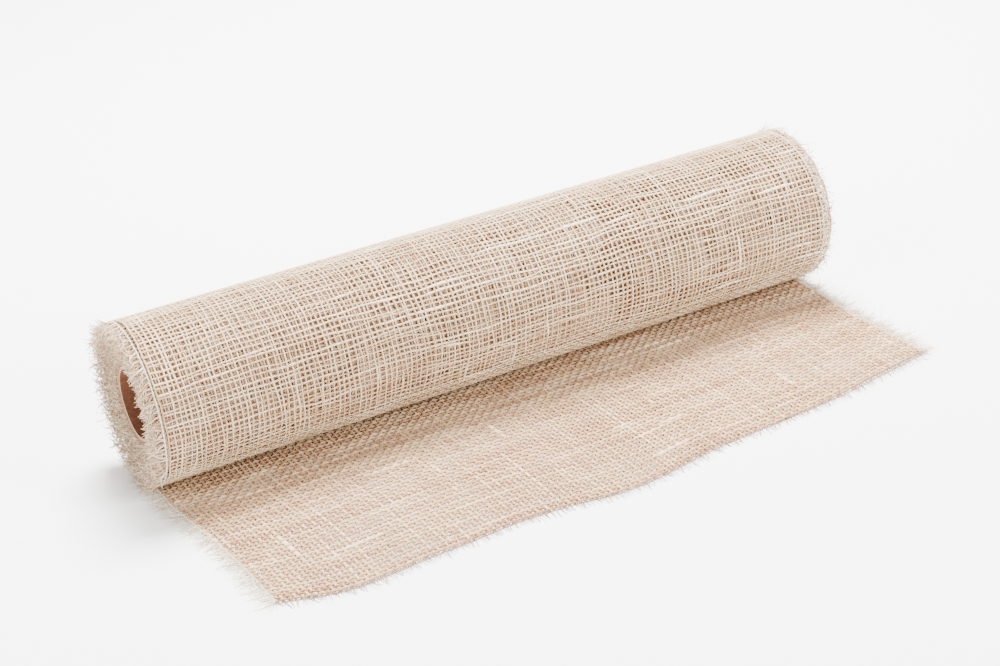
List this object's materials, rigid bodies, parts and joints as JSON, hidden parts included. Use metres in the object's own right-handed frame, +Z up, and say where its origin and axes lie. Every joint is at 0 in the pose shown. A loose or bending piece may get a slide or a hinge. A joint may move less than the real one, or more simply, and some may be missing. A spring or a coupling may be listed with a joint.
{
  "type": "ribbon spool",
  "caption": "Wide spool of open-weave jute wrapping ribbon wound on a card core, with its fringed free end laid flat in front of the roll.",
  "frame": {"origin": "on the surface that the roll stands on, straight under the middle of the roll's length", "axes": "+X along the roll's axis, +Z up, and the free end of the cloth is laid out towards -Y"},
  "size_m": [0.5348, 0.2623, 0.1112],
  "materials": {
    "kraft_card": "matt grey-brown spiral-wound card",
    "tape": "satin double-sided tape",
    "jute": "matt natural open weave",
    "selvage_thread": "matt twisted thread",
    "jute_fringe": "matt frayed yarn ends"
  },
  "bodies": {
    "laid": {"laid_cloth": "jute", "laid_selvage_left": "selvage_thread", "laid_selvage_right": "selvage_thread", "laid_fringe_left": "jute_fringe", "laid_fringe_right": "jute_fringe"},
    "nip": {"nip_cloth": "jute"},
    "roll": {"core_liner": "kraft_card", "core_board": "kraft_card", "core_wrapper": "kraft_card", "start_tape": "tape", "outer_turn": "jute", "wound_cloth": "jute", "roll_selvage_left": "selvage_thread", "roll_selvage_right": "selvage_thread", "roll_fringe_left": "jute_fringe", "roll_fringe_right": "jute_fringe"},
    "free_end": {"free_end_cloth": "jute", "free_end_selvage_left": "selvage_thread", "free_end_selvage_right": "selvage_thread", "free_end_fringe_left": "jute_fringe", "free_end_fringe_right": "jute_fringe", "hem_fringe": "jute_fringe"}
  },
  "joints": [
    {"name": "roll_out", "type": "slide", "parent": "laid", "child": "nip", "axis": [0, 1, 0], "range_m": [0, 0.036]},
    {"name": "roll_turn", "type": "hinge", "parent": "nip", "child": "roll", "pos_m": [0, 0, 0.05658], "axis": [-1, 0, 0], "range_deg": [0, 37.6]},
    {"name": "end_lift", "type": "hinge", "parent": "laid", "child": "free_end", "pos_m": [0, -0.075, 0.0012], "axis": [-1, 0, 0], "range_deg": [0, 75]}
  ],
  "couplings": [
    {"joint": "roll_turn", "follows": "roll_out", "rad_per_m": 18.182}
  ]
}
